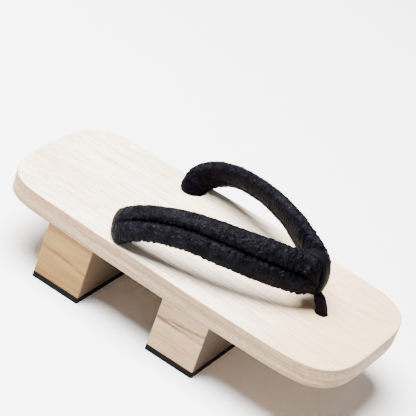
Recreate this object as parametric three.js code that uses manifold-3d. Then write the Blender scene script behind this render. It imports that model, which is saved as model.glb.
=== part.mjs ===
// A geta sandal: a paulownia footboard on two pine teeth with rubber soles, and a padded
// V-shaped strap that a front loop ties to the board.
// Millimetres, +Z up, +X towards the toe. The origin is on the floor, under the board's middle.
import * as THREE from "three";
import { mergeVertices } from "three/addons/utils/BufferGeometryUtils.js";
import Module from "manifold-3d";

const wasm = await Module();
wasm.setup();

// Driving dimensions.
const clearance = 0.3; // between soft pieces and what they pass through or rest on
const slack = 0.004; // the smallest steps left in a joined surface
const board = {
  length: 250,
  width: 115, // at its widest, across the ball of the foot
  thickness: 14,
  widestAt: 0.62, // share of the length, from the heel
  sideBow: 2, // how much the long sides curve in by the heel
  heelNarrowing: 3.3, // further loss of half width at the heel, in a straight taper
  toeRounding: 54, // length over which the toe end rounds off
  heelRounding: 40,
  toeSquareness: 3.8, // exponent of the end's superellipse
  heelSquareness: 3.4,
  easedEdge: 1.1, // radius worn onto the top and bottom edges
};
const tooth = { length: 34.5, width: 108, height: 36, corner: 0.8 };
const rearTooth = { fromHeel: 61.6 }; // to the middle of the tooth
const frontTooth = { fromHeel: 148.8 };
const sole = { thickness: 4, overhang: 0.2 }; // rubber glued under each tooth
const rearHole = { fromHeel: 89, fromSide: 16, radius: 5 };
const frontHole = { fromToe: 40.8, radius: 4.4 };
const overcut = 1; // how far a cutting body reaches past what it cuts
const strap = {
  width: 27,
  thickness: 12.2,
  rise: 27, // of its middle line above the board, at the instep
  fullness: 0.8, // exponent of the section: below 1 is fuller than an ellipse
  seamWidth: 0.17, // share of the half width
  seamDepth: 0.34, // share of the half thickness that the seam draws in, on the face
  underSeamDepth: 0.1,
  tipBehindHole: 10.5, // the fold of the V, behind the front hole
  tailRise: 0.8, // how far the round tails run up into the padded ends
};
const loop = { width: 8.4, thickness: 2.7, round: 1.1 };
// The strap's fold inside the loop, seen from the side.
const fold = {
  halfLength: 7.8,
  halfHeight: 10.8,
  squareness: 2.5, // exponent of its superellipse
  behindHole: 15,
  aboveBoard: 21.8,
  lean: 8, // degrees, top to the heel
  bulge: 0.8, // how much wider than the loop's slot its core is, so that it joins both arms
};
// The loop's two tails, side by side.
const post = { length: 6.9, width: 8.1, neckHeight: 10.4, neckBehindHole: 6.5 };
const knot = { radius: 7, height: 4.2, fullness: 0.7 };

// The strap's arm, from the fold of the V back and down to its rear hole.
// along: share of the way from rear hole to fold; out: share of the hole's distance from the
// middle; up: share of the rise; face: degrees that the seamed face looks above level, or null
// where the strap only bends on; wide, thick and seam: shares of the section's sizes and of its
// seam's depth. The last row lies below the board's top, where the padding is cut off flat.
const armTable = [
  { along: 1.01, out: -0.03, up: 0.82, face: 12, wide: 0.86, thick: 0.9, seam: 1 },
  { along: 0.93, out: 0.24, up: 0.85, face: 15, wide: 0.98, thick: 1.0, seam: 1 },
  { along: 0.75, out: 0.565, up: 0.95, face: 25, wide: 0.99, thick: 1.0, seam: 1 },
  { along: 0.555, out: 0.82, up: 1.01, face: 35, wide: 0.95, thick: 0.96, seam: 1 },
  { along: 0.355, out: 0.99, up: 0.98, face: 43, wide: 0.89, thick: 0.95, seam: 1 },
  { along: 0.165, out: 1.125, up: 0.79, face: 48, wide: 0.85, thick: 0.96, seam: 1 },
  { along: 0.052, out: 1.165, up: 0.54, face: null, wide: 0.84, thick: 0.97, seam: 0.6 },
  { along: -0.01, out: 1.135, up: 0.3, face: null, wide: 0.84, thick: 0.94, seam: 0.15 },
  { along: -0.022, out: 1.05, up: 0.11, face: null, wide: 0.82, thick: 0.96, seam: 0 },
  { along: -0.004, out: 0.98, up: -0.22, face: null, wide: 0.7, thick: 0.96, seam: 0 },
];
// The front loop's post, from inside the loop down to the front hole.
// up: share of the neck's height above the board; ahead: share of the way from neck to hole;
// long and wide: shares of the post's section.
const postTable = [
  { up: 1.16, ahead: -0.38, long: 0.66, wide: 0.88 },
  { up: 1.0, ahead: 0.0, long: 0.64, wide: 0.9 },
  { up: 0.82, ahead: 0.4, long: 0.98, wide: 0.97 },
  { up: 0.55, ahead: 0.62, long: 1.08, wide: 1.0 },
  { up: 0.27, ahead: 0.84, long: 1.02, wide: 0.99 },
];
// How finely round shapes are cut.
const boardEndSteps = 22;
const boardSideSteps = 8;
const armSteps = 30;
const armSides = 28;
const foldSteps = 40;
const knotSteps = 8;
const roundSides = 28;
const bevelSteps = 3;
const cornerSteps = 6;

// Heights and places that follow.
const toothTop = sole.thickness + tooth.height;
const boardTop = toothTop + board.thickness;
const fromHeel = (x) => x - board.length / 2;
const frontHoleX = board.length / 2 - frontHole.fromToe;
const rearHoleX = fromHeel(rearHole.fromHeel);
const rearHoleY = board.width / 2 - rearHole.fromSide;
const foldX = frontHoleX - strap.tipBehindHole;
const knotMiddle = toothTop - clearance - knot.height / 2;

// Materials.
const finish = (color, roughness) =>
  new THREE.MeshStandardMaterial({ color, roughness, metalness: 0 });
const paulownia = finish(0xe9dfd2, 0.72);
const pine = finish(0xdcc39a, 0.65);
const rubber = finish(0x17181a, 0.8);
const cloth = finish(0x19191d, 0.85);

// A closed geometry as a solid, and a solid back as a geometry.
function solid(geometry) {
  const bare = new THREE.BufferGeometry();
  bare.setAttribute("position", geometry.getAttribute("position"));
  bare.setIndex(geometry.getIndex());
  const merged = mergeVertices(bare, 1e-4);
  return new wasm.Manifold(
    new wasm.Mesh({
      numProp: 3,
      vertProperties: new Float32Array(merged.getAttribute("position").array),
      triVerts: new Uint32Array(merged.getIndex().array),
    }),
  );
}

function geometryOf(manifold) {
  const mesh = manifold.simplify(slack).getMesh();
  const geometry = new THREE.BufferGeometry();
  geometry.setAttribute("position", new THREE.BufferAttribute(mesh.vertProperties, 3));
  geometry.setIndex(new THREE.BufferAttribute(mesh.triVerts, 1));
  geometry.computeVertexNormals();
  return geometry;
}

// The board's half width at a share of its length from the heel, before its ends round off.
function halfWidth(share) {
  const off = (share - board.widestAt) / board.widestAt;
  return board.width / 2 - board.sideBow * off * off + board.heelNarrowing * Math.min(off, 0);
}

// The board's outline in plan: bowed sides and two superellipse ends.
function boardOutline() {
  const half = [];
  const end = (tip, reach, squareness) => {
    const points = [];
    for (let i = 0; i <= boardEndSteps; i++) {
      const angle = (Math.PI / 2) * (i / boardEndSteps);
      const x = tip - reach * (1 - Math.cos(angle) ** (2 / squareness));
      const y = halfWidth(x / board.length) * Math.sin(angle) ** (2 / squareness);
      points.push(new THREE.Vector2(fromHeel(x), y));
    }
    return points;
  };
  half.push(...end(board.length, board.toeRounding, board.toeSquareness));
  for (let i = 1; i < boardSideSteps; i++) {
    const x = THREE.MathUtils.lerp(
      board.length - board.toeRounding,
      board.heelRounding,
      i / boardSideSteps,
    );
    half.push(new THREE.Vector2(fromHeel(x), halfWidth(x / board.length)));
  }
  half.push(...end(0, -board.heelRounding, board.heelSquareness).reverse());
  const mirrored = half
    .slice(1, -1)
    .reverse()
    .map((p) => new THREE.Vector2(p.x, -p.y));
  return [...half, ...mirrored];
}

// An outline raised to a height, with eased edges that stay inside the outline.
function easedSlab(outline, height, ease) {
  return new THREE.ExtrudeGeometry(new THREE.Shape(outline), {
    depth: height - 2 * ease,
    bevelEnabled: true,
    bevelThickness: ease,
    bevelSize: ease,
    bevelOffset: -ease,
    bevelSegments: bevelSteps,
  }).translate(0, 0, ease);
}

// An upright cylinder from one height to another.
function uprightCylinder(radius, x, y, low, high) {
  return new THREE.CylinderGeometry(radius, radius, high - low, roundSides)
    .rotateX(Math.PI / 2)
    .translate(x, y, (low + high) / 2);
}

function makeBoard() {
  const slab = easedSlab(boardOutline(), board.thickness, board.easedEdge);
  let body = solid(slab.translate(0, 0, toothTop));
  const holes = [
    [frontHoleX, 0, frontHole.radius],
    [rearHoleX, rearHoleY, rearHole.radius],
    [rearHoleX, -rearHoleY, rearHole.radius],
  ];
  for (const [x, y, radius] of holes) {
    const drill = uprightCylinder(radius, x, y, toothTop - overcut, boardTop + overcut);
    body = body.subtract(solid(drill));
  }
  return geometryOf(body);
}

// A block with rounded upright corners, for a tooth or the rubber under it.
function block(length, width, height, corner) {
  const shape = new THREE.Shape();
  const x = length / 2 - corner;
  const y = width / 2 - corner;
  shape.absarc(x, y, corner, 0, Math.PI / 2);
  shape.absarc(-x, y, corner, Math.PI / 2, Math.PI);
  shape.absarc(-x, -y, corner, Math.PI, (Math.PI * 3) / 2);
  shape.absarc(x, -y, corner, (Math.PI * 3) / 2, Math.PI * 2);
  return new THREE.ExtrudeGeometry(shape, {
    depth: height,
    bevelEnabled: false,
    curveSegments: cornerSteps,
  });
}

// A tube of sections along a list of frames: {at, across, out, halfWidth, halfThick, seam}.
function sweep(frames, sides, pointOf) {
  const positions = [];
  const index = [];
  const point = new THREE.Vector3();
  for (const frame of frames) {
    for (let k = 0; k < sides; k++) {
      const [across, out] = pointOf((2 * Math.PI * k) / sides, frame);
      point.copy(frame.at).addScaledVector(frame.across, across);
      point.addScaledVector(frame.out, out);
      positions.push(point.x, point.y, point.z);
    }
  }
  for (let i = 0; i + 1 < frames.length; i++) {
    for (let k = 0; k < sides; k++) {
      const a = i * sides + k;
      const b = i * sides + ((k + 1) % sides);
      index.push(a, b, b + sides, a, b + sides, a + sides);
    }
  }
  for (const [i, turn] of [[0, 1], [frames.length - 1, -1]]) {
    const middle = positions.length / 3;
    positions.push(frames[i].at.x, frames[i].at.y, frames[i].at.z);
    for (let k = 0; k < sides; k++) {
      const a = i * sides + k;
      const b = i * sides + ((k + 1) % sides);
      index.push(middle, ...(turn > 0 ? [b, a] : [a, b]));
    }
  }
  const geometry = new THREE.BufferGeometry();
  geometry.setAttribute("position", new THREE.Float32BufferAttribute(positions, 3));
  geometry.setIndex(index);
  return geometry;
}

// A point of the strap's section: two stuffed ribs with a seam between them on the face.
function strapSection(angle, frame) {
  const across = Math.cos(angle);
  const out = Math.sin(angle);
  const seam = Math.exp(-((across / strap.seamWidth) ** 2)) * frame.seam;
  const depth = out > 0 ? strap.seamDepth : strap.underSeamDepth;
  const height = Math.sign(out) * Math.abs(out) ** strap.fullness * (1 - depth * seam);
  return [across * frame.halfWidth, height * frame.halfThick];
}

// Interpolates one column of the arm table at a place from 0 (fold) to 1 (hole).
function armColumn(name, place) {
  const rows = armTable.length - 1;
  const i = Math.min(Math.floor(place * rows), rows - 1);
  const share = THREE.MathUtils.smoothstep(place * rows - i, 0, 1);
  return THREE.MathUtils.lerp(armTable[i][name], armTable[i + 1][name], share);
}

// The frames of the left arm: its middle line, and the way that its seamed face looks.
function armFrames() {
  const points = armTable.map(
    (row) =>
      new THREE.Vector3(
        THREE.MathUtils.lerp(rearHoleX, foldX, row.along),
        rearHoleY * row.out,
        boardTop + strap.rise * row.up,
      ),
  );
  const line = new THREE.CatmullRomCurve3(points, false, "centripetal");
  const faceRows = armTable.filter((row) => row.face !== null).length - 1;
  const up = new THREE.Vector3(0, 0, 1);
  const frames = [];
  for (let i = 0; i <= armSteps; i++) {
    const place = i / armSteps;
    const at = line.getPoint(place);
    const ahead = line.getTangent(place);
    const out = new THREE.Vector3();
    if (place * (armTable.length - 1) <= faceRows) {
      const tilt = THREE.MathUtils.degToRad(armColumn("face", place));
      const level = new THREE.Vector3().crossVectors(ahead, up).normalize();
      out.addScaledVector(level, Math.cos(tilt)).addScaledVector(up, Math.sin(tilt));
    } else {
      out.copy(frames[i - 1].out);
    }
    out.addScaledVector(ahead, -out.dot(ahead)).normalize();
    const across = new THREE.Vector3().crossVectors(out, ahead).normalize();
    frames.push({
      at,
      across,
      out,
      halfWidth: (strap.width / 2) * armColumn("wide", place),
      halfThick: (strap.thickness / 2) * armColumn("thick", place),
      seam: armColumn("seam", place),
    });
  }
  return frames;
}

// The knot that holds a tail from below.
function makeKnot(x, y) {
  const profile = [];
  for (let i = 0; i <= knotSteps; i++) {
    const angle = (Math.PI * i) / knotSteps;
    const rise = -Math.cos(angle);
    const height = Math.sign(rise) * Math.abs(rise) ** knot.fullness * (knot.height / 2);
    profile.push(new THREE.Vector2(knot.radius * Math.sin(angle) ** knot.fullness, height));
  }
  profile[0].x = 0;
  profile[knotSteps].x = 0;
  const lump = new THREE.LatheGeometry(profile, roundSides).rotateX(Math.PI / 2);
  return solid(lump.translate(x, y, knotMiddle));
}

// The inside of the front loop, seen from the side, grown by a margin.
function foldOutline(margin) {
  const exponent = 2 / fold.squareness;
  const points = [];
  for (let i = 0; i < foldSteps; i++) {
    const angle = (2 * Math.PI * i) / foldSteps;
    const [c, s] = [Math.cos(angle), Math.sin(angle)];
    const x = Math.sign(c) * Math.abs(c) ** exponent * (fold.halfLength + margin);
    const z = Math.sign(s) * Math.abs(s) ** exponent * (fold.halfHeight + margin);
    points.push(new THREE.Vector2(x, z));
  }
  return points;
}

// Turns a slab that was drawn lying down upright and sets it in the middle plane, round the fold.
function standAtFold(geometry, width) {
  return geometry
    .rotateX(Math.PI / 2)
    .rotateY(-THREE.MathUtils.degToRad(fold.lean))
    .translate(frontHoleX - fold.behindHole, width / 2, boardTop + fold.aboveBoard);
}

// A slab with the fold's outline, grown by a margin, across the middle of the sandal.
function foldSlab(margin, width) {
  const slab = new THREE.ExtrudeGeometry(new THREE.Shape(foldOutline(margin)), {
    depth: width,
    bevelEnabled: false,
  });
  return solid(standAtFold(slab, width));
}

function makeStrap() {
  const padded = solid(sweep(armFrames(), armSides, strapSection));
  const arm = padded.trimByPlane([0, 0, 1], boardTop + clearance);
  const inHole = rearHole.radius - clearance;
  const tail = uprightCylinder(inHole, rearHoleX, rearHoleY, knotMiddle, boardTop + strap.tailRise);
  const left = arm.add(solid(tail)).add(makeKnot(rearHoleX, rearHoleY));
  const both = left.add(left.mirror([0, 1, 0]));
  // The loop draws the fold in, so there the strap just fills the loop.
  const slotWidth = loop.width + 2 * clearance;
  const around = foldSlab(strap.width, slotWidth);
  const slot = around.subtract(foldSlab(-clearance, slotWidth + 2 * overcut));
  const core = foldSlab(-fold.bulge, slotWidth + fold.bulge);
  return geometryOf(both.add(core).subtract(slot));
}

// The post of the front loop: from under the fold forward and down into the front hole.
function postFrames() {
  const frame = (x, z, halfWidth, halfThick) => ({
    at: new THREE.Vector3(x, 0, z),
    across: new THREE.Vector3(0, 1, 0),
    out: new THREE.Vector3(1, 0, 0),
    halfWidth,
    halfThick,
  });
  const frames = postTable.map((row) =>
    frame(
      frontHoleX - post.neckBehindHole * (1 - row.ahead),
      boardTop + post.neckHeight * row.up,
      (post.width / 2) * row.wide,
      (post.length / 2) * row.long,
    ),
  );
  const inHole = frontHole.radius - clearance;
  frames.push(frame(frontHoleX, boardTop - clearance, inHole, inHole));
  frames.push(frame(frontHoleX, knotMiddle, inHole, inHole));
  return frames;
}

function makeFrontLoop() {
  const band = new THREE.ExtrudeGeometry(
    new THREE.Shape(foldOutline(loop.thickness - loop.round)),
    {
      depth: loop.width - 2 * loop.round,
      bevelEnabled: true,
      bevelThickness: loop.round,
      bevelSize: loop.round,
      bevelSegments: bevelSteps,
    },
  ).translate(0, 0, loop.round);
  const round = (angle, frame) => [
    Math.cos(angle) * frame.halfWidth,
    Math.sin(angle) * frame.halfThick,
  ];
  const neck = solid(sweep(postFrames(), roundSides, round));
  const outside = solid(standAtFold(band, loop.width)).add(neck).add(makeKnot(frontHoleX, 0));
  return geometryOf(outside.subtract(foldSlab(0, loop.width + 2 * overcut)));
}

// Assembly.
const geta = new THREE.Group();

function place(name, geometry, material, x = 0, z = 0) {
  const mesh = new THREE.Mesh(geometry, material);
  mesh.name = name;
  mesh.position.set(x, 0, z);
  geta.add(mesh);
}

place("board", makeBoard(), paulownia);
for (const [end, at] of [["rear", rearTooth], ["front", frontTooth]]) {
  const x = fromHeel(at.fromHeel);
  const wood = block(tooth.length, tooth.width, tooth.height, tooth.corner);
  place(`tooth_${end}`, wood, pine, x, sole.thickness);
  const pad = block(
    tooth.length + 2 * sole.overhang,
    tooth.width + 2 * sole.overhang,
    sole.thickness,
    tooth.corner + sole.overhang,
  );
  place(`sole_${end}`, pad, rubber, x, 0);
}
place("strap", makeStrap(), cloth);
place("front_loop", makeFrontLoop(), cloth);

export default geta;
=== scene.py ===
"""The looks of a geta sandal: bare paulownia board, pine teeth, rubber soles, padded black strap."""

import math
from collections import namedtuple

import bmesh
import bpy
import numpy as np
from mathutils import Euler, Matrix, Vector, noise


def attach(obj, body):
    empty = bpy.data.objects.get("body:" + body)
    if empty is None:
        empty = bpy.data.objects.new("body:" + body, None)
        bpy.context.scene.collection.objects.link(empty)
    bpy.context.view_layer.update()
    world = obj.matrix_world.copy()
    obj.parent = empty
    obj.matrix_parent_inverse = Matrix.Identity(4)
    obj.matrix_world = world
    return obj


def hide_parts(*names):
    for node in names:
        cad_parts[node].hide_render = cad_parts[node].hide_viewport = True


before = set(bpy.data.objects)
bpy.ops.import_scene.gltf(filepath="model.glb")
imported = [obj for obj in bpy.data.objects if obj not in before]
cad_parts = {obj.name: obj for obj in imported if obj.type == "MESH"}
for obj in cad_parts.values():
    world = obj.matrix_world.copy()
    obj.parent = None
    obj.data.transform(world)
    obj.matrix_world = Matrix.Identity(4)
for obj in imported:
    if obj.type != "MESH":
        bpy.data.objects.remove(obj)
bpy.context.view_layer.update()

# Sizes in millimetres: the toe is at +X, the near side at -Y and the floor at 0.
MM = 0.001
CLEARANCE = 0.3
TOOTH_TOP = 40.0
BOARD = dict(length=250.0, width=115.0, thickness=14.0, widest=0.62, bow=2.0, narrow=3.3)
ENDS = dict(toe=54.0, toe_power=3.8, heel=40.0, heel_power=3.4, ease=1.2)
BOARD_TOP = TOOTH_TOP + BOARD["thickness"]
FRONT_HOLE = dict(x=84.2, radius=4.4)
REAR_HOLE = dict(x=-36.0, aside=41.5, radius=5.0)
TOOTH_X = dict(rear=-63.4, front=23.8)
STRAP = dict(width=27.0, thick=12.2, rise=27.0, fold_x=73.7)
FOLD = dict(x=69.2, z=BOARD_TOP + 21.8, long=7.8, high=10.8, lean=math.radians(8), power=2.5)
LOOP = dict(width=8.4, thick=2.7)
POST = dict(long=6.9, wide=8.1, neck=10.4, behind=6.5)
KNOT = dict(radius=7.0, height=4.2, middle=TOOTH_TOP - CLEARANCE - 2.1, fullness=0.7, crease=3.2)

# The strap's arm, from its fold back to its hole. Along is a share of the way, aside a share of the
# hole's distance from the middle, up a share of the rise, and tilt the slope of the seamed face in
# degrees. Width, thick and seam are shares of the strap's own width, thickness and seam depth.
ArmRow = namedtuple("ArmRow", "along aside up tilt width thick seam")
ARM = [
    ArmRow(1.01, -0.03, 0.82, 12, 0.86, 0.9, 1.0),
    ArmRow(0.93, 0.24, 0.85, 15, 0.98, 1.0, 1.0),
    ArmRow(0.75, 0.565, 0.95, 25, 0.99, 1.0, 1.0),
    ArmRow(0.555, 0.82, 1.01, 35, 0.95, 0.96, 1.0),
    ArmRow(0.355, 0.99, 0.98, 43, 0.89, 0.95, 1.0),
    ArmRow(0.165, 1.125, 0.79, 48, 0.85, 0.96, 1.0),
    ArmRow(0.052, 1.165, 0.54, None, 0.84, 0.97, 0.6),
    ArmRow(-0.01, 1.135, 0.3, None, 0.84, 0.94, 0.15),
    ArmRow(-0.022, 1.05, 0.11, None, 0.82, 0.96, 0.0),
    ArmRow(-0.004, 0.98, -0.22, None, 0.7, 0.96, 0.0),
]
# The fold in and beside the loop: distance from the middle, share of the loop's inside, and how far
# its crown rises past that.
FoldRow = namedtuple("FoldRow", "aside share rise")
FOLD_ROWS = [
    FoldRow(0.0, 1.0, 0.0),
    FoldRow(2.7, 1.0, 0.0),
    FoldRow(3.5, 1.01, 0.08),
    FoldRow(4.4, 1.04, 0.14),
    FoldRow(5.6, 1.06, 0.15),
    FoldRow(7.0, 1.04, 0.1),
    FoldRow(8.4, 0.95, 0.04),
    FoldRow(9.8, 0.7, 0.0),
    FoldRow(10.4, 0.3, 0.0),
]
# The loop's post: height as a share of the neck's, way from neck to hole, length and width.
PostRow = namedtuple("PostRow", "up way long wide")
POST_ROWS = [
    PostRow(1.16, -0.38, 0.66, 0.88),
    PostRow(1.0, 0.0, 0.7, 0.9),
    PostRow(0.82, 0.32, 1.08, 0.97),
    PostRow(0.55, 0.56, 1.18, 1.0),
    PostRow(0.27, 0.84, 1.06, 0.99),
    PostRow(0.0, 1.0, 1.1, 0.98),
]
# The seam's groove, as shares of the strap's half thickness and half width: a valley on the seamed
# face, the line of stitching in it, and a dent in the back.
GROOVE = dict(valley=(0.3, 0.17), stitching=(0.2, 0.05), back=(0.1, 0.2))
# Gathers by the seam and at the lower and upper edge, with places and widths as shares of the half
# width.
SEAM_GATHERS = dict(amount=1.15, at=0.12, width=0.34, on_back=0.1)
EDGE_GATHERS = dict(lower=0.7, upper=0.25, width=0.22)
# The arm's deeper pleats, by how much and over how many millimetres: from the fold, from the rear
# end, and in a fan over the top beside the fold.
PLEATS = dict(fold=(0.8, 13.0), rear=(0.4, 12.0), fan=(2.2, 24.0))
# Where the relief starts and where it is whole, in millimetres off the loop and off the board.
SETS_IN = dict(loop=(0.5, 4.5), board=(0.3, 3.5))
# The crepe is lower on the arm's back, in the seam and near the rear end.
CALM = dict(back=0.45, seam=(0.7, 0.1), rear=(0.35, 20.0))
# The gathers are a broad and a small wave that wander as they go along the arm.
WAVE = dict(broad=0.75, small=0.85, small_count=1.85, wander=3.2, wander_scale=0.45)
CREPE = dict(swell=4.0, level=0.5, grain=0.7, grain_scale=2.1)
# The loop's band bunches where it narrows into its neck, low at the front.
NECK = dict(at=math.radians(303), width=0.42, narrowing=0.14, bulge=0.6)
BAND_FOLDS = dict(depth=0.16, count=3.3, sway=2.0, sways=3, least=0.5, at_neck=1.2)
POST_FOLDS = dict(count=7, depth=0.045, waves=5, front_depth=0.16, front_width=0.22)
# A brown streak on a tooth: height at the tooth's middle, slope, half width and strength.
Streak = namedtuple("Streak", "height slope width strength")


# Curves and shells.


def smooth(a, b, v):
    t = np.clip((v - a) / (b - a), 0, 1)
    return t * t * (3 - 2 * t)


def hump(v, width, at=0.0):
    """1 at a place, fading to nothing within about two widths of it."""
    return np.exp(-(((v - at) / width) ** 2))


def flattened(v, power):
    """A sine or cosine raised to a power, with its sign kept: under 1 it gives squarer rounds."""
    return np.sign(v) * np.abs(v) ** power


def full_turn(count):
    return np.linspace(0, 2 * math.pi, count + 1)[:-1]


def unit(v):
    return v / np.linalg.norm(v, axis=-1, keepdims=True)


def curve(points, places):
    """A smooth curve through points, at places from 0 to 1, that doesn't loop between close ones."""
    p = np.array(points, float)
    p = np.vstack([2 * p[0] - p[1], p, 2 * p[-1] - p[-2]])
    rows = len(points) - 1
    out = []
    for place in places:
        i = min(int(place * rows), rows - 1)
        t = place * rows - i
        a, b, c, d = p[i : i + 4]
        ab, bc, cd = (math.sqrt(np.linalg.norm(v)) for v in (b - a, c - b, d - c))
        m1 = ((b - a) / ab - (c - a) / (ab + bc) + (c - b) / bc) * bc
        m2 = ((c - b) / bc - (d - b) / (bc + cd) + (d - c) / cd) * bc
        out.append(
            b * (2 * t**3 - 3 * t**2 + 1)
            + m1 * (t**3 - 2 * t**2 + t)
            + c * (3 * t**2 - 2 * t**3)
            + m2 * (t**3 - t**2)
        )
    return np.array(out)


def eased(column, places):
    """A table's column of numbers at places from 0 to 1, eased from row to row."""
    values = np.array(column, float)
    n = len(values) - 1
    i = np.minimum((places * n).astype(int), n - 1)
    t = smooth(0, 1, places * n - i)
    return values[i] * (1 - t) + values[i + 1] * t


def crumple(p, size, octaves, seed):
    """Soft noise at each point, for creases of a size in millimetres."""
    shift = Vector((seed, -seed, 2 * seed))
    return np.array([noise.fractal(Vector(q) / size + shift, 1.0, 2.0, octaves) for q in p])


def tube_faces(rings, sides, closed=False):
    i = np.arange(rings if closed else rings - 1)[:, None]
    k = np.arange(sides)[None, :]
    j, n = (i + 1) % rings, (k + 1) % sides
    corners = [i * sides + k, i * sides + n, j * sides + n, j * sides + k]
    return np.stack(corners, -1).reshape(-1, 4)


def capped(points):
    """A tube from rings of points, closed by a fan at each end."""
    rings, sides, _ = points.shape
    verts = np.vstack([points.reshape(-1, 3), points[0].mean(0), points[-1].mean(0)])
    faces = tube_faces(rings, sides).tolist()
    base = (rings - 1) * sides
    for k in range(sides):
        n = (k + 1) % sides
        faces.append((rings * sides, n, k))
        faces.append((rings * sides + 1, base + k, base + n))
    return verts, faces


def piece(name, parts, material, sharp=None):
    """One mesh object from shells of (vertices in millimetres, faces)."""
    verts, faces = [], []
    for v, f in parts:
        base = len(verts)
        verts += (np.asarray(v) * MM).tolist()
        faces += [tuple(base + i for i in face) for face in f]
    mesh = bpy.data.meshes.new(name)
    mesh.from_pydata(verts, [], faces)
    mesh.validate()
    bm = bmesh.new()
    bm.from_mesh(mesh)
    bmesh.ops.recalc_face_normals(bm, faces=bm.faces)
    bm.to_mesh(mesh)
    bm.free()
    mesh.shade_smooth()
    if sharp:
        mesh.set_sharp_from_angle(angle=math.radians(sharp))
    obj = bpy.data.objects.new(name, mesh)
    bpy.context.scene.collection.objects.link(obj)
    mesh.materials.append(material)
    return obj


def finished(obj):
    """A plain mesh of an object as its modifiers leave it."""
    bpy.context.view_layer.update()
    return bpy.data.meshes.new_from_object(obj.evaluated_get(bpy.context.evaluated_depsgraph_get()))


# Materials.


class Shader:
    """A principled material whose nodes read object coordinates."""

    def __init__(self, name, rough, sheen=0.0):
        self.mat = bpy.data.materials.new(name)
        self.mat.use_nodes = True
        self.tree = self.mat.node_tree
        self.skin = self.tree.nodes["Principled BSDF"]
        self.skin.inputs["Roughness"].default_value = rough
        self.skin.inputs["Sheen Weight"].default_value = sheen
        self.place = self.node("ShaderNodeTexCoord").outputs["Object"]
        self.bump_from = None

    def node(self, kind, **values):
        made = self.tree.nodes.new(kind)
        for key, value in values.items():
            if hasattr(made, key):
                setattr(made, key, value)
            else:
                made.inputs[key.replace("_", " ")].default_value = value
        return made

    def link(self, a, b):
        self.tree.links.new(a, b)

    def noise(self, scale, stretch=(1, 1, 1), detail=3.0, turn=(0, 0, 0), rough=0.5, warp=0.0):
        mapping = self.node("ShaderNodeMapping")
        mapping.inputs["Scale"].default_value = stretch
        mapping.inputs["Rotation"].default_value = turn
        self.link(self.place, mapping.inputs["Vector"])
        tex = self.node("ShaderNodeTexNoise", Scale=scale, Detail=detail, Roughness=rough)
        tex.inputs["Distortion"].default_value = warp
        self.link(mapping.outputs["Vector"], tex.inputs["Vector"])
        return tex.outputs["Fac"]

    def band(self, source, low, high, to_low=0.0, to_high=1.0):
        ranged = self.node("ShaderNodeMapRange")
        ranged.inputs["From Min"].default_value = low
        ranged.inputs["From Max"].default_value = high
        ranged.inputs["To Min"].default_value = to_low
        ranged.inputs["To Max"].default_value = to_high
        ranged.interpolation_type = "SMOOTHSTEP"
        self.link(source, ranged.inputs["Value"])
        return ranged.outputs["Result"]

    def calc(self, operation, a, b=0.0):
        made = self.node("ShaderNodeMath", operation=operation)
        for socket, value in zip(made.inputs, (a, b)):
            if isinstance(value, (int, float)):
                socket.default_value = value
            else:
                self.link(value, socket)
        return made.outputs[0]

    def creased(self, output):
        """Noise turned into sharp creases between soft swells."""
        return self.calc("ABSOLUTE", self.calc("SUBTRACT", output, 0.5))

    def axis(self, name):
        split = self.node("ShaderNodeSeparateXYZ")
        self.link(self.place, split.inputs[0])
        return split.outputs[name]

    def attribute(self, name):
        made = self.node("ShaderNodeAttribute", attribute_name=name)
        return made.outputs["Fac"]

    def mix(self, factor, a, b):
        made = self.node("ShaderNodeMix", data_type="RGBA")
        self.link(factor, made.inputs["Factor"])
        for socket, value in ((made.inputs[6], a), (made.inputs[7], b)):
            if isinstance(value, tuple):
                socket.default_value = (*value, 1)
            else:
                self.link(value, socket)
        return made.outputs[2]

    def colour(self, output):
        self.link(output, self.skin.inputs["Base Color"])

    def shine(self, amount):
        self.skin.inputs["Specular IOR Level"].default_value = amount

    def bump(self, height, distance, strength):
        made = self.node("ShaderNodeBump", Strength=strength, Distance=distance)
        self.link(height, made.inputs["Height"])
        if self.bump_from:
            self.link(self.bump_from, made.inputs["Normal"])
        self.bump_from = made.outputs["Normal"]
        self.link(self.bump_from, self.skin.inputs["Normal"])


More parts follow.
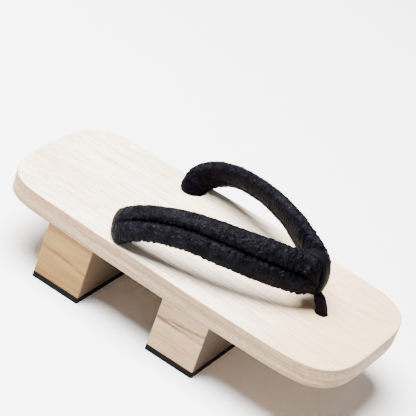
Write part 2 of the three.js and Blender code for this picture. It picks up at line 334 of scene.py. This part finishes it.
def board_wood():
    """Bleached wood with a fine straight grain, tanner at the toe, over a darker streaked side."""
    bleached = (0.90, 0.79, 0.65)
    cream = (0.82, 0.68, 0.52)
    toe_tan = (0.62, 0.435, 0.225)
    grain_brown = (0.57, 0.4, 0.25)
    pore_brown = (0.44, 0.29, 0.18)
    warm_tan = (0.66, 0.43, 0.25)
    side_dark = (0.245, 0.158, 0.085)
    side_pale = (0.42, 0.29, 0.172)
    side_brown = (0.34, 0.19, 0.09)
    side_pore = (0.27, 0.16, 0.105)
    fleck_brown = (0.2, 0.11, 0.07)
    speck_brown = (0.19, 0.12, 0.08)
    rim_tan = (0.42, 0.25, 0.1)
    s = Shader("bleached paulownia", 0.62)
    s.shine(0.3)
    grain = s.noise(16, (1.0, 38, 38), 4, rough=0.66)
    broad = s.noise(9, (0.5, 5, 5), 3, turn=(0, 0, 0.03), warp=0.4)
    pores = s.noise(55, (1.2, 18, 18), 2)
    warm = s.noise(30, (0.5, 1.6, 1.6), 3, warp=0.6)
    streak = s.noise(14, (0.6, 3, 24), 4, turn=(0, 0.02, 0), rough=0.6, warp=0.3)
    flecks = s.noise(210, (0.8, 1, 4), 3, rough=0.6)
    specks = s.noise(430, (1, 1, 1), 3, rough=0.7)
    toe = s.band(s.axis("X"), 0.0, BOARD["length"] / 2 * MM)
    top = s.mix(s.band(broad, 0.35, 0.68), bleached, cream)
    top = s.mix(s.band(toe, 0.0, 1.0, 0.0, 0.85), top, toe_tan)
    top = s.mix(s.band(grain, 0.45, 0.64, 0.0, 0.7), top, grain_brown)
    top = s.mix(s.band(pores, 0.57, 0.67, 0.0, 0.7), top, pore_brown)
    top = s.mix(s.band(warm, 0.52, 0.7, 0.0, 0.5), top, warm_tan)
    # Brown streaks fill the side's upper part, and its rim is the warmest.
    upper = s.band(s.axis("Z"), (TOOTH_TOP + 4.5) * MM, (BOARD_TOP - 1.0) * MM)
    rim = s.band(s.axis("Z"), (BOARD_TOP - 2.3) * MM, (BOARD_TOP - 0.9) * MM, 0.0, 0.35)
    edge = s.mix(s.band(streak, 0.38, 0.62), side_dark, side_pale)
    edge = s.mix(s.calc("MULTIPLY", s.band(streak, 0.52, 0.6), upper), edge, side_brown)
    edge = s.mix(s.band(pores, 0.57, 0.67, 0.0, 0.65), edge, side_pore)
    edge = s.mix(s.band(flecks, 0.52, 0.66, 0.0, 0.45), edge, fleck_brown)
    edge = s.mix(s.band(specks, 0.46, 0.62, 0.0, 0.4), edge, speck_brown)
    edge = s.mix(rim, edge, rim_tan)
    s.colour(s.mix(s.attribute("side"), top, edge))
    s.bump(grain, 0.12 * MM, 0.5)
    s.bump(pores, 0.08 * MM, 0.5)
    return s.mat


def tooth_wood(name, base, pale, sawn_and_shade_colour, streak_colour, streaks, middle_x):
    """Pine with brown streaks across its planed end, and duller sawn faces darkened with painted shade."""
    s = Shader(name, 0.58)
    s.shine(0.3)
    grain = s.noise(17, (0.6, 0.6, 24), 4, rough=0.6, warp=0.15)
    broad = s.noise(26, (0.5, 0.5, 3.5), 3, warp=0.5)
    wander = s.noise(42, (1, 0.35, 0.4), 2)
    broken = s.noise(130, (0.9, 0.5, 6), 3, rough=0.6)
    pores = s.noise(70, (0.8, 0.8, 14), 2)
    flecks = s.noise(190, (0.7, 0.7, 5), 2)
    lines = s.noise(60, (1, 9, 0.7), 4, rough=0.65, warp=0.3)
    tint = s.mix(s.band(broad, 0.35, 0.66), base, pale)
    tint = s.mix(s.band(grain, 0.48, 0.66, 0.0, 0.24), tint, streak_colour)
    off_x = s.calc("SUBTRACT", s.axis("X"), middle_x * MM)
    waver = s.calc("MULTIPLY", s.calc("SUBTRACT", wander, 0.5), 3 * MM)
    level = s.calc("ADD", s.axis("Z"), waver)
    gaps = s.band(broken, 0.38, 0.55, 0.35, 1.0)
    for streak in streaks:
        at = s.calc("SUBTRACT", level, s.calc("MULTIPLY", off_x, streak.slope))
        off = s.calc("ABSOLUTE", s.calc("SUBTRACT", at, streak.height * MM))
        line = s.band(off, 0.0, streak.width * MM, streak.strength, 0.0)
        tint = s.mix(s.calc("MULTIPLY", line, gaps), tint, streak_colour)
    tint = s.mix(s.band(pores, 0.55, 0.68, 0.0, 0.28), tint, streak_colour)
    tint = s.mix(s.band(flecks, 0.6, 0.7, 0.0, 0.4), tint, streak_colour)
    # The faces toward the toe and the heel take a much darker colour: partly duller sawn wood, partly
    # painted shade.
    facing = s.node("ShaderNodeSeparateXYZ")
    s.link(s.node("ShaderNodeTexCoord").outputs["Normal"], facing.inputs[0])
    sawn_shade_mask = s.band(s.calc("ABSOLUTE", facing.outputs["X"]), 0.5, 0.9, 0.0, 0.95)
    sawn_and_shade_tint = s.mix(s.band(lines, 0.4, 0.66, 0.0, 0.22), sawn_and_shade_colour, streak_colour)
    s.colour(s.mix(sawn_shade_mask, tint, sawn_and_shade_tint))
    s.bump(grain, 0.12 * MM, 0.5)
    return s.mat


def rubber():
    s = Shader("black rubber", 0.62)
    s.shine(0.06)
    s.colour(s.mix(s.noise(120), (0.0006, 0.0008, 0.001), (0.0025, 0.003, 0.0035)))
    s.bump(s.noise(900, detail=2), 0.06 * MM, 0.6)
    return s.mat


def strap_cloth():
    black = (0.0012, 0.001, 0.0022)
    worn_black = (0.0047, 0.0041, 0.0071)
    painted_shade_black = (0.0006, 0.0006, 0.001)
    s = Shader("crinkled black cloth", 0.44, sheen=0.002)
    # The cloth shines least where it turns in below the arms.
    shine = s.band(s.attribute("crepe"), 0.6, 0.95, 0.009, 0.03)
    s.link(shine, s.skin.inputs["Specular IOR Level"])
    s.skin.inputs["Sheen Roughness"].default_value = 0.4
    s.skin.inputs["Sheen Tint"].default_value = (0.8, 0.76, 0.9, 1)
    tone = s.noise(140, detail=4, rough=0.6)
    crinkle = s.creased(s.noise(230, detail=2, warp=1.6))
    folds = s.creased(s.noise(120, detail=1, warp=2.2))
    cloth = s.mix(s.band(tone, 0.35, 0.7), black, worn_black)
    # Painted shade darkens the crinkles' creases and the seam's groove.
    cloth = s.mix(s.band(crinkle, 0.0, 0.055, 0.9, 0.0), cloth, painted_shade_black)
    s.colour(s.mix(s.band(s.attribute("seam"), 0.3, 1.0, 0.0, 0.85), cloth, painted_shade_black))
    s.bump(crinkle, 1.7 * MM, 0.9)
    s.bump(folds, 1.8 * MM, 0.9)
    return s.mat


def loop_cloth():
    s = Shader("smooth black cloth", 0.55, sheen=0.002)
    s.shine(0.03)
    s.skin.inputs["Sheen Roughness"].default_value = 0.4
    s.colour(s.mix(s.noise(180), (0.0012, 0.0011, 0.0018), (0.003, 0.0027, 0.0042)))
    s.bump(s.noise(260, warp=0.5), 0.35 * MM, 0.6)
    s.bump(s.noise(2200, detail=1), 0.05 * MM, 0.5)
    return s.mat


# The board.


def half_width(x):
    off = (x / BOARD["length"] - BOARD["widest"]) / BOARD["widest"]
    return BOARD["width"] / 2 - BOARD["bow"] * off**2 + BOARD["narrow"] * np.minimum(off, 0)


def board_outline(corner_steps=56, side_points=26, points=360):
    a = np.linspace(0, math.pi / 2, corner_steps + 1)
    ends = []
    for tip, reach, power in (
        (BOARD["length"], ENDS["toe"], ENDS["toe_power"]),
        (0.0, -ENDS["heel"], ENDS["heel_power"]),
    ):
        x = tip - reach * (1 - np.cos(a) ** (2 / power))
        ends.append(np.stack([x, half_width(x) * np.sin(a) ** (2 / power)], 1))
    x = np.linspace(BOARD["length"] - ENDS["toe"], ENDS["heel"], side_points)[1:-1]
    half = np.vstack([ends[0], np.stack([x, half_width(x)], 1), ends[1][::-1]])
    half[:, 0] -= BOARD["length"] / 2
    ring = np.vstack([half, half[1:-1][::-1] * (1, -1)])
    # Even steps keep the long thin faces away from the rounded corners.
    ring = np.vstack([ring, ring[:1]])
    gap = np.linalg.norm(np.diff(ring, axis=0), axis=1)
    far = np.concatenate([[0], np.cumsum(gap)])
    even = np.linspace(0, far[-1], points + 1)[:-1]
    return np.stack([np.interp(even, far, ring[:, i]) for i in (0, 1)], 1)


def drill(board, x, y, radius):
    bpy.ops.mesh.primitive_cylinder_add(
        vertices=48, radius=radius * MM, depth=60 * MM, location=(x * MM, y * MM, BOARD_TOP * MM)
    )
    bit = bpy.context.object
    hole = board.modifiers.new("hole", "BOOLEAN")
    hole.operation = "DIFFERENCE"
    hole.object = bit
    mesh = finished(board)
    board.modifiers.clear()
    board.data = mesh
    bpy.data.objects.remove(bit)


def make_board(material, edge_rows=6, sharp=40):
    ring = board_outline()
    ahead = unit(np.roll(ring, -1, 0) - np.roll(ring, 1, 0))
    inward = np.stack([-ahead[:, 1], ahead[:, 0]], 1)
    ease = ENDS["ease"]
    quarter = np.linspace(0, math.pi / 2, edge_rows)
    worn = [(ease * (1 - math.sin(t)), ease * (1 - math.cos(t))) for t in quarter]
    rows = [(TOOTH_TOP + dz, inset) for dz, inset in worn[::-1]]
    rows += [(BOARD_TOP - dz, inset) for dz, inset in worn]
    rings = np.array([np.column_stack([ring + inward * inset, np.full(len(ring), z)]) for z, inset in rows])
    n = len(ring)
    faces = tube_faces(len(rows), n).tolist()
    faces.append(list(range(n))[::-1])
    faces.append([(len(rows) - 1) * n + k for k in range(n)])
    board = piece("footboard", [(rings.reshape(-1, 3), faces)], material, sharp)
    drill(board, FRONT_HOLE["x"], 0, FRONT_HOLE["radius"])
    for side in (1, -1):
        drill(board, REAR_HOLE["x"], side * REAR_HOLE["aside"], REAR_HOLE["radius"])
    mesh = board.data
    mesh.name = "footboard"
    mesh.shade_smooth()
    mesh.set_sharp_from_angle(angle=math.radians(sharp))
    # The side's colour reaches half way up the eased edge.
    high = (BOARD_TOP - ease * 0.45) * MM
    side = mesh.attributes.new("side", "FLOAT", "POINT")
    side.data.foreach_set("value", [1.0 if v.co.z < high else 0.0 for v in mesh.vertices])
    return board


# The strap.


def arm_frames(count):
    """Places along an arm, its line there, the way out of its seamed face and the way across it."""
    places = np.linspace(0, 1, count)
    points = [
        (
            REAR_HOLE["x"] + (STRAP["fold_x"] - REAR_HOLE["x"]) * r.along,
            REAR_HOLE["aside"] * r.aside,
            BOARD_TOP + STRAP["rise"] * r.up,
        )
        for r in ARM
    ]
    line = curve(points, places)
    ahead = unit(np.gradient(line, axis=0))
    tilts = [r.tilt for r in ARM if r.tilt is not None]
    last = (len(tilts) - 1) / (len(ARM) - 1)
    tilt = np.radians(eased(tilts, np.clip(places / last, 0, 1)))
    level = unit(np.cross(ahead, (0, 0, 1)))
    out = level * np.cos(tilt)[:, None] + np.array([0, 0, 1]) * np.sin(tilt)[:, None]
    for i in range(count):
        # Past the last tilt, where the arm turns down, its face keeps its way.
        if places[i] > last:
            out[i] = out[i - 1]
        out[i] = unit(out[i] - ahead[i] * (out[i] @ ahead[i]))
    return places, line, out, np.cross(out, ahead)


def fold_outline(a, margin, share=1.0):
    """The loop's inside, seen from the side, at angles, grown by a margin or scaled by a share."""
    power = 2 / FOLD["power"]
    x = flattened(np.cos(a), power) * (FOLD["long"] + margin) * share
    z = flattened(np.sin(a), power) * (FOLD["high"] + margin) * share
    c, s = math.cos(FOLD["lean"]), math.sin(FOLD["lean"])
    return FOLD["x"] + x * c - z * s, FOLD["z"] + x * s + z * c


def draw_in(p, slack=0.35, tight=0.3, loose=4.4):
    """Squeezes the strap into the front loop, and lets it swell out again beside the loop."""
    c, s = math.cos(FOLD["lean"]), math.sin(FOLD["lean"])
    dx, dz = p[:, 0] - FOLD["x"], p[:, 2] - FOLD["z"]
    x, z = dx * c + dz * s, dz * c - dx * s
    a, b, n = FOLD["long"] - slack, FOLD["high"] - slack, FOLD["power"]
    r = (np.abs(x / a) ** n + np.abs(z / b) ** n) ** (1 / n)
    pull = 1 - smooth(LOOP["width"] / 2 + tight, LOOP["width"] / 2 + loose, np.abs(p[:, 1]))
    scale = np.where(r > 1, 1 + (1 / np.maximum(r, 1) - 1) * pull, 1)
    x, z = x * scale, z * scale
    q = p.copy()
    q[:, 0] = FOLD["x"] + x * c - z * s
    q[:, 2] = FOLD["z"] + x * s + z * c
    return q


def settled(p, curl_height=3.0, curl=0.16):
    """The padding drawn into the loop, curled in over its hole and resting on the board."""
    q = draw_in(p)
    low = np.clip(1 - (q[:, 2] - BOARD_TOP) / curl_height, 0, 1)
    hole = np.array([REAR_HOLE["x"], REAR_HOLE["aside"]])
    q[:, :2] += (hole - q[:, :2]) * (curl * low * low)[:, None]
    q[:, 2] = np.maximum(q[:, 2], BOARD_TOP + CLEARANCE)
    return q


def arm_relief(q, cc, ss, ff, seamed):
    """How much the gathers, the crepe and the seam show at each point of an arm.

    An arm's section has cc from one edge (-1) to the other (1) and ss from its back to its seamed
    face, and ff is the distance from the fold.
    """
    face = ss > 0
    rear = ff[-1, 0] - ff
    off_loop = smooth(*SETS_IN["loop"], np.abs(q[:, 1]) - LOOP["width"] / 2)
    off_board = smooth(*SETS_IN["board"], q[:, 2] - BOARD_TOP)
    free = (off_loop * off_board).reshape(cc.shape)
    by_seam = SEAM_GATHERS["amount"] * hump(np.abs(cc), SEAM_GATHERS["width"], SEAM_GATHERS["at"]) * seamed
    by_seam = np.where(face, by_seam, SEAM_GATHERS["on_back"])
    by_edge = np.where(cc < 0, EDGE_GATHERS["lower"], EDGE_GATHERS["upper"])
    by_edge = hump(np.abs(cc), EDGE_GATHERS["width"], 1.0) * by_edge
    (fold, fold_reach), (last, last_reach), (fan, fan_reach) = PLEATS.values()
    pleats = 1 + fold * np.exp(-ff / fold_reach) + last * np.exp(-rear / last_reach)
    fan = fan * smooth(-0.3, 0.5, cc) * hump(ff, fan_reach)
    gathers = ((by_seam + by_edge) * pleats + fan) * free
    in_seam, seam_width = CALM["seam"]
    at_rear, rear_reach = CALM["rear"]
    crepe = free * (1 - CALM["back"] * (1 - smooth(-0.7, 0.2, ss)))
    crepe = crepe * (1 - in_seam * hump(cc, seam_width) * face) * (1 - at_rear * hump(rear, rear_reach))
    return gathers, crepe, hump(cc, 0.06) * face * seamed


def make_arm(side, front=66, back=60):
    """One padded arm, with four values a point: distance along it, gathers, crepe and seam."""
    rings = 300
    # The seamed face has its steps closest together at the seam.
    u = np.linspace(0, 1, front + 1)[:-1]
    seamed_side = math.pi * u + 0.32 * np.sin(2 * math.pi * u)
    theta = np.concatenate([seamed_side, np.linspace(math.pi, 2 * math.pi, back + 1)[:-1]])
    places, line, out, across = arm_frames(rings)
    half_w = STRAP["width"] / 2 * eased([r.width for r in ARM], places)
    half_t = STRAP["thick"] / 2 * eased([r.thick for r in ARM], places)
    seamed = eased([r.seam for r in ARM], places)[:, None]
    far = np.concatenate([[0], np.cumsum(np.linalg.norm(np.diff(line, axis=0), axis=1))])
    cc, ff = np.meshgrid(np.cos(theta), far)
    ss = np.broadcast_to(np.sin(theta), cc.shape)
    valley, stitching, dent = (depth * hump(cc, width) for depth, width in GROOVE.values())
    depth = np.where(ss > 0, valley + stitching, dent) * seamed
    shape = flattened(ss, 0.8) * (1 - depth)
    points = (
        line[:, None, :]
        + across[:, None, :] * (cc * half_w[:, None])[..., None]
        + out[:, None, :] * (shape * half_t[:, None])[..., None]
    )
    q = settled(points.reshape(-1, 3))
    # The two arms take their gathers from different stretches of the wave.
    start = 50.0 if side < 0 else 0.0
    layers = [(ff + start) * MM, *arm_relief(q, cc, ss, ff, seamed)]
    q = q.reshape(points.shape)
    if side < 0:
        q = q[:, ::-1] * (1, -1, 1)
        layers = [layer[:, ::-1] for layer in layers]
    ends = [0, 0]
    return capped(q), [np.append(layer.reshape(-1), ends) for layer in layers]


def gathered(obj, material, **sizes):
    """Gathers and creases a padded piece with a tree of nodes, by its own attributes."""
    tree = bpy.data.node_groups.new("gathered cloth", "GeometryNodeTree")
    face = tree.interface
    face.new_socket("Geometry", in_out="INPUT", socket_type="NodeSocketGeometry")
    names = {key: key.replace("_", " ").capitalize() for key in sizes}
    sockets = {
        key: face.new_socket(name, in_out="INPUT", socket_type="NodeSocketFloat").identifier
        for key, name in names.items()
    }
    face.new_socket("Geometry", in_out="OUTPUT", socket_type="NodeSocketGeometry")
    given = tree.nodes.new("NodeGroupInput")

    def node(kind, *values, **settings):
        made = tree.nodes.new(kind)
        for key, value in settings.items():
            setattr(made, key, value)
        for socket, value in zip(made.inputs, values):
            if isinstance(value, bpy.types.NodeSocket):
                tree.links.new(value, socket)
            elif value is not None:
                socket.default_value = value
        return made

    def calc(operation, a, b=0.0):
        return node("ShaderNodeMath", a, b, operation=operation).outputs[0]

    def size(key):
        return given.outputs[names[key]]

    def layer(name):
        return node("GeometryNodeInputNamedAttribute", name, data_type="FLOAT").outputs[0]

    def cloud(place, scale, detail):
        made = node("ShaderNodeTexNoise", noise_dimensions="3D")
        tree.links.new(place, made.inputs["Vector"])
        tree.links.new(scale, made.inputs["Scale"])
        made.inputs["Detail"].default_value = detail
        return calc("SUBTRACT", made.outputs[0], 0.5)

    def wave(turns, count):
        return calc("SINE", calc("MULTIPLY", turns, count * 2 * math.pi))

    place = node("GeometryNodeInputPosition").outputs[0]
    pitch = size("gather_pitch")
    wander = cloud(place, calc("DIVIDE", WAVE["wander_scale"], pitch), 2.0)
    wander = calc("MULTIPLY", wander, WAVE["wander"])
    turns = calc("ADD", calc("DIVIDE", layer("along"), pitch), wander)
    broad = calc("MULTIPLY", wave(turns, 1.0), WAVE["broad"])
    small = calc("MULTIPLY", wave(turns, WAVE["small_count"]), WAVE["small"])
    gathers = calc("MULTIPLY", calc("ADD", broad, small), layer("gathers"))
    gathers = calc("MULTIPLY", gathers, size("gather_depth"))
    # The crepe puffs up between creases, with a finer grain on top.
    puff = cloud(place, calc("DIVIDE", 1.0, size("crepe_size")), 2.0)
    puff = calc("MULTIPLY", calc("ABSOLUTE", puff), CREPE["swell"])
    puff = calc("SUBTRACT", puff, CREPE["level"])
    grain = cloud(place, calc("DIVIDE", CREPE["grain_scale"], size("crepe_size")), 1.0)
    crepe = calc("ADD", puff, calc("MULTIPLY", grain, CREPE["grain"]))
    crepe = calc("MULTIPLY", calc("MULTIPLY", crepe, layer("crepe")), size("crepe_depth"))
    lift = node("ShaderNodeVectorMath", node("GeometryNodeInputNormal").outputs[0], operation="SCALE")
    tree.links.new(calc("ADD", gathers, crepe), lift.inputs["Scale"])
    moved = node("GeometryNodeSetPosition", given.outputs["Geometry"])
    tree.links.new(lift.outputs[0], moved.inputs["Offset"])
    whole = node("GeometryNodeRealizeInstances", moved.outputs[0])
    dressed = node("GeometryNodeSetMaterial", whole.outputs[0])
    dressed.inputs["Material"].default_value = material
    node("NodeGroupOutput", dressed.outputs[0])
    gathering = obj.modifiers.new("gathers", "NODES")
    gathering.node_group = tree
    for key, value in sizes.items():
        gathering[sockets[key]] = value
    mesh = finished(obj)
    obj.modifiers.clear()
    obj.data = mesh
    mesh.shade_smooth()


def knotted_tail(x, y, top, radius, seed, sides=64, rough=0.5, rounding=0.6, free=1.0, tip=0.05):
    """A tail of a radius, down from a height through the board, that ends in a crumpled knot."""
    rows = [(radius * 0.6, top), (radius, top - rounding), (radius, TOOTH_TOP + free)]
    for t in np.linspace(0.5, math.pi, 16):
        r = KNOT["radius"] * math.sin(t) ** KNOT["fullness"] if t < math.pi else 0.0
        height = KNOT["height"] / 2 * flattened(math.cos(t), KNOT["fullness"])
        rows.append((max(r, tip), KNOT["middle"] + height))
    a = full_turn(sides)
    p = np.array(
        [np.column_stack([x + r * np.cos(a), y + r * np.sin(a), np.full(sides, z)]) for r, z in rows]
    )
    flat = p.reshape(-1, 3)
    away = unit((flat - np.array([x, y, 0])) * (1, 1, 0) + 1e-9)
    amount = np.repeat([rough if z < TOOTH_TOP else 0.0 for _, z in rows], sides)
    flat = flat + away * (crumple(flat, KNOT["crease"], 2, seed) * amount)[:, None]
    return capped(flat.reshape(p.shape))


def make_fold(sides=72, pressed=0.1):
    """The fold fills the loop and swells a little beside it; also its values, as an arm's."""
    a = full_turn(sides)
    crown = smooth(-0.35, 0.75, np.sin(a))
    rings = []
    for row in FOLD_ROWS:
        x = fold_outline(a, pressed, row.share)[0]
        z = fold_outline(a, pressed, row.share + row.rise * crown)[1]
        rings.append(np.column_stack([x, np.full(sides, row.aside), z]))
    rings = np.array(rings)
    verts, faces = capped(np.concatenate([rings[:0:-1] * (1, -1, 1), rings]))
    beside = smooth(LOOP["width"] / 2, LOOP["width"] / 2 + 1.5, np.abs(verts[:, 1]))
    return (verts, faces), [verts[:, 1] * MM, beside, beside * 0.8, np.zeros(len(verts))]


def make_strap(material):
    fold, fold_layers = make_fold()
    parts, layers = [fold], [fold_layers]
    radius = REAR_HOLE["radius"] - CLEARANCE
    for side, seed in ((1, 2.3), (-1, 7.9)):
        arm, arm_layers = make_arm(side)
        tail = knotted_tail(REAR_HOLE["x"], side * REAR_HOLE["aside"], BOARD_TOP + 0.8, radius, seed)
        parts += [arm, tail]
        layers += [arm_layers, [np.zeros(len(tail[0]))] * 4]
    strap = piece("padded_strap", parts, material)
    for name, values in zip(("along", "gathers", "crepe", "seam"), zip(*layers)):
        layer = strap.data.attributes.new(name, "FLOAT", "POINT")
        layer.data.foreach_set("value", np.concatenate(values).astype(np.float32))
    gathered(
        strap,
        material,
        gather_pitch=4.2 * MM,
        gather_depth=0.42 * MM,
        crepe_size=4.6 * MM,
        crepe_depth=0.5 * MM,
    )
    return strap


# The front loop.


def loop_band(steps=220, sides=40):
    """The band round the fold, with small folds on its outside."""
    a = full_turn(steps)
    t = full_turn(sides)
    inner_x, inner_z = fold_outline(a, 0.02)
    outer_x, outer_z = fold_outline(a, LOOP["thick"])
    flat = np.zeros(steps)
    inner = np.column_stack([inner_x, flat, inner_z])
    outer = np.column_stack([outer_x, flat, outer_z])
    middle = (inner + outer) / 2
    away = unit(outer - inner)
    neck = hump(a, NECK["width"], NECK["at"])
    half_r = LOOP["thick"] / 2 + 0.05
    rings = []
    for i in range(steps):
        half_y = LOOP["width"] / 2 * (1 - NECK["narrowing"] * neck[i])
        y = flattened(np.cos(t), 0.55) * half_y
        r = flattened(np.sin(t), 0.7) * half_r
        r = np.where(r > 0, r * (1 + NECK["bulge"] * neck[i]), r)
        sway = BAND_FOLDS["sway"] * np.sin(a[i] * BAND_FOLDS["sways"])
        fold = np.sin(BAND_FOLDS["count"] * np.pi * y / half_y + sway) * (r > 0)
        r = r + BAND_FOLDS["depth"] * fold * (BAND_FOLDS["least"] + BAND_FOLDS["at_neck"] * neck[i])
        rings.append(middle[i] + away[i] * r[:, None] + np.array([0, 1, 0]) * y[:, None])
    return np.array(rings).reshape(-1, 3), tube_faces(steps, sides, closed=True).tolist()


def loop_post(rings=90, sides=56):
    """The post, from the band's neck into the front hole, with a deep crease down its front."""
    places = np.linspace(0, 1, rings)
    points = [
        (FRONT_HOLE["x"] - POST["behind"] * (1 - r.way), 0, BOARD_TOP + POST["neck"] * r.up)
        for r in POST_ROWS
    ]
    line = curve(points, places)
    long = POST["long"] / 2 * eased([r.long for r in POST_ROWS], places)
    wide = POST["wide"] / 2 * eased([r.wide for r in POST_ROWS], places)
    b = full_turn(sides)
    around = np.sin(POST_FOLDS["count"] * b)[None, :]
    crease = 1 + POST_FOLDS["depth"] * around * np.sin(places * POST_FOLDS["waves"])[:, None]
    deep = hump(np.sin(b), POST_FOLDS["front_width"]) * (np.cos(b) > 0)
    crease = crease - POST_FOLDS["front_depth"] * deep[None, :]
    x = line[:, 0:1] + long[:, None] * np.cos(b)[None, :] * crease
    y = line[:, 1:2] + wide[:, None] * np.sin(b)[None, :] * crease
    return capped(np.stack([x, y, np.repeat(line[:, 2:3], sides, 1)], -1))


def make_loop(material):
    radius = FRONT_HOLE["radius"] - CLEARANCE
    tail = knotted_tail(FRONT_HOLE["x"], 0, BOARD_TOP + 0.2, radius, 4.4)
    return piece("front_loop_cloth", [loop_band(), loop_post(), tail], material)


board = make_board(board_wood())
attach(board, "root")
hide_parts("board")

strap = make_strap(strap_cloth())
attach(strap, "root")
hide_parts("strap")

loop = make_loop(loop_cloth())
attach(loop, "root")
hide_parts("front_loop")

# Each tooth's sawn colour is darkened with painted shade for its faces toward the toe and the heel.
rear = tooth_wood(
    "rear tooth pine",
    base=(0.195, 0.099, 0.011),
    pale=(0.255, 0.15, 0.032),
    sawn_and_shade_colour=(0.088, 0.064, 0.04),
    streak_colour=(0.13, 0.043, 0.008),
    streaks=[Streak(38.2, 0.0, 2.2, 0.9), Streak(23.4, -0.1, 2.1, 1.0), Streak(7.5, 0.05, 1.8, 0.6)],
    middle_x=TOOTH_X["rear"],
)
front = tooth_wood(
    "front tooth pine",
    base=(0.325, 0.2, 0.096),
    pale=(0.42, 0.29, 0.155),
    sawn_and_shade_colour=(0.062, 0.044, 0.031),
    streak_colour=(0.1, 0.04, 0.019),
    streaks=[Streak(28.8, 0.14, 2.0, 1.0), Streak(25.8, 0.01, 1.8, 1.0), Streak(39.2, 0.0, 1.4, 0.7)],
    middle_x=TOOTH_X["front"],
)
black = rubber()
for node, material in (
    ("tooth_rear", rear),
    ("tooth_front", front),
    ("sole_rear", black),
    ("sole_front", black),
):
    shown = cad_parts[node]
    shown.data.materials.clear()
    shown.data.materials.append(material)


# The stage, the lights and the camera, with their places and sizes in metres.

bpy.ops.mesh.primitive_plane_add(size=12, location=(0, 0, 0))
floor = bpy.context.object
floor.name = "floor"
white = bpy.data.materials.new("white paper")
white.use_nodes = True
white.node_tree.nodes["Principled BSDF"].inputs["Base Color"].default_value = (0.9, 0.9, 0.9, 1)
white.node_tree.nodes["Principled BSDF"].inputs["Roughness"].default_value = 0.9
floor.data.materials.append(white)

world = bpy.data.worlds.new("studio")
bpy.context.scene.world = world
world.use_nodes = True
world.node_tree.nodes["Background"].inputs["Color"].default_value = (1, 1, 1, 1)
world.node_tree.nodes["Background"].inputs["Strength"].default_value = 0.3


def light(name, place, size, power, aim=(0, 0, 0.05)):
    lamp = bpy.data.lights.new(name, "AREA")
    lamp.shape = "DISK"
    lamp.size = size
    lamp.energy = power
    obj = bpy.data.objects.new(name, lamp)
    bpy.context.scene.collection.objects.link(obj)
    obj.location = place
    obj.rotation_euler = (Vector(aim) - Vector(place)).to_track_quat("-Z", "Y").to_euler()


light("overhead", place=(-0.36, -0.16, 1.42), size=1.1, power=188)
light("left fill", place=(-1.5, -0.5, 0.5), size=0.9, power=2.5)

# The camera's place, turn and lens were fitted to the corners of the board and the teeth.
CAMERA_PLACE = (0.41164, -1.0244, 0.73122)
CAMERA_TURN = Euler([math.radians(angle) for angle in (57.7976, -16.886, 32.924)])
lens = bpy.data.cameras.new("camera")
lens.sensor_width = 36
lens.lens = 183.29
lens.shift_x = 0.0211
lens.shift_y = -0.0078
camera = bpy.data.objects.new("camera", lens)
bpy.context.scene.collection.objects.link(camera)
camera.matrix_world = Matrix.Translation(CAMERA_PLACE) @ CAMERA_TURN.to_matrix().to_4x4()
bpy.context.scene.camera = camera
